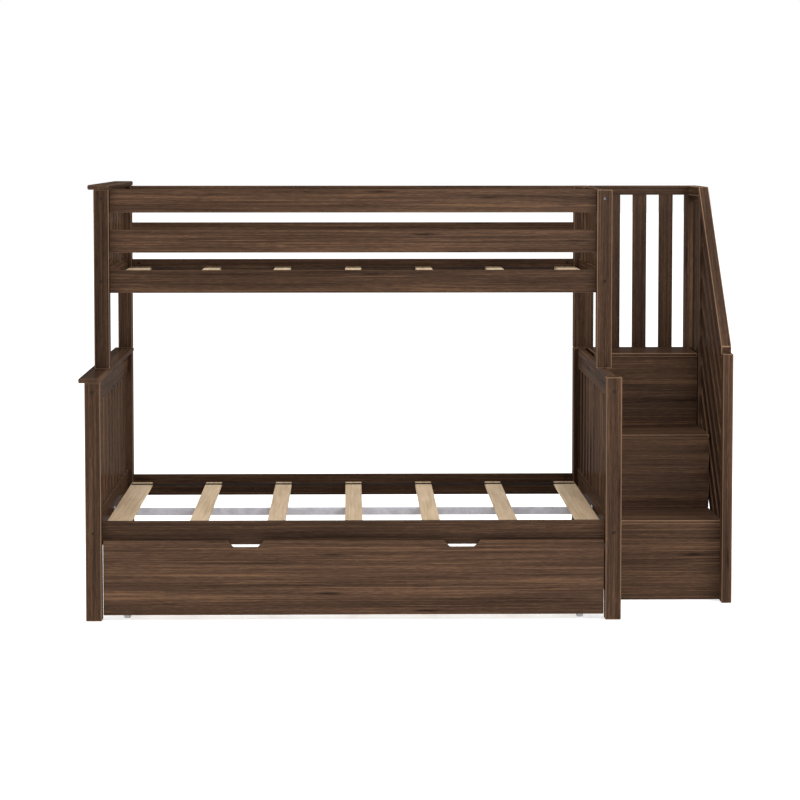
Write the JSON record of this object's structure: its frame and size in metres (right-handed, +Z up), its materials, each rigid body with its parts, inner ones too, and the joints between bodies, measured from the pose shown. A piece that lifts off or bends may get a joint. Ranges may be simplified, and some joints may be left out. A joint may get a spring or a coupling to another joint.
{
  "type": "bunk bed with stairs",
  "caption": "Bunk bed, twin over full, with a staircase and handrail at its right end and a pull-out trundle on casters underneath",
  "frame": {"origin": "middle of the footprint, on the floor", "axes": "+X along the beds towards the stairs, +Y from the front to the back, +Z up"},
  "size_m": [2.538, 1.535, 1.6548],
  "materials": {
    "walnut": "dark walnut stain under satin lacquer",
    "pine": "bare planed pine",
    "beam_grey": "grey powder coat",
    "caster_grey": "moulded light grey",
    "tyre_grey": "grey caster tread"
  },
  "bodies": {
    "bed": {"lower_post_front_left": "walnut", "lower_post_back_left": "walnut", "lower_post_front_right": "walnut", "lower_post_back_right": "walnut", "upper_post_front_left": "walnut", "upper_post_back_left": "walnut", "upper_post_front_right": "walnut", "upper_post_back_right": "walnut", "lower_end_cap_left": "walnut", "upper_end_cap_left": "walnut", "lower_end_panel_left": "walnut", "lower_end_panel_right": "walnut", "upper_end_panel_left": "walnut", "upper_entry_end_right": "walnut", "lower_side_rail_front": "walnut", "lower_side_rail_back": "walnut", "upper_side_rail_front": "walnut", "upper_side_rail_back": "walnut", "upper_middle_guard_front": "walnut", "upper_middle_guard_back": "walnut", "upper_top_guard_front": "walnut", "upper_top_guard_back": "walnut", "stair_tread_1": "walnut", "stair_tread_2": "walnut", "stair_tread_3": "walnut", "stair_riser_1": "walnut", "stair_riser_2": "walnut", "stair_riser_3": "walnut", "stair_side_inner": "walnut", "stair_side_outer": "walnut", "stair_newel_post": "walnut", "stair_side_guard": "walnut", "stair_handrail": "walnut", "stair_back_guard": "walnut", "lower_slat_1": "pine", "lower_slat_2": "pine", "lower_slat_3": "pine", "lower_slat_4": "pine", "lower_slat_5": "pine", "lower_slat_6": "pine", "lower_slat_7": "pine", "upper_slat_1": "pine", "upper_slat_2": "pine", "upper_slat_3": "pine", "upper_slat_4": "pine", "upper_slat_5": "pine", "upper_slat_6": "pine", "upper_slat_7": "pine", "lower_centre_beam": "beam_grey"},
    "trundle": {"trundle_front_panel": "walnut", "trundle_frame": "walnut", "trundle_slat_deck": "pine", "caster_housing_front_left": "caster_grey", "caster_housing_front_right": "caster_grey", "caster_housing_back_left": "caster_grey", "caster_housing_back_right": "caster_grey"},
    "caster_front_left": {"caster_wheel_front_left": "tyre_grey"},
    "caster_front_right": {"caster_wheel_front_right": "tyre_grey"},
    "caster_back_left": {"caster_wheel_back_left": "tyre_grey"},
    "caster_back_right": {"caster_wheel_back_right": "tyre_grey"}
  },
  "joints": [
    {"name": "trundle_slide", "type": "slide", "parent": "bed", "child": "trundle", "axis": [0, -1, 0], "range_m": [0, 0.95]},
    {"name": "caster_roll_front_left", "type": "hinge", "parent": "trundle", "child": "caster_front_left", "pos_m": [-1.095, -0.6875, 0.03], "axis": [1, 0, 0], "continuous": true},
    {"name": "caster_roll_front_right", "type": "hinge", "parent": "trundle", "child": "caster_front_right", "pos_m": [0.641, -0.6875, 0.03], "axis": [1, 0, 0], "continuous": true},
    {"name": "caster_roll_back_left", "type": "hinge", "parent": "trundle", "child": "caster_back_left", "pos_m": [-1.095, 0.1975, 0.03], "axis": [1, 0, 0], "continuous": true},
    {"name": "caster_roll_back_right", "type": "hinge", "parent": "trundle", "child": "caster_back_right", "pos_m": [0.641, 0.1975, 0.03], "axis": [1, 0, 0], "continuous": true}
  ],
  "couplings": [
    {"joint": "caster_roll_front_left", "follows": "trundle_slide", "rad_per_m": 33.333},
    {"joint": "caster_roll_front_right", "follows": "trundle_slide", "rad_per_m": 33.333},
    {"joint": "caster_roll_back_left", "follows": "trundle_slide", "rad_per_m": 33.333},
    {"joint": "caster_roll_back_right", "follows": "trundle_slide", "rad_per_m": 33.333}
  ]
}
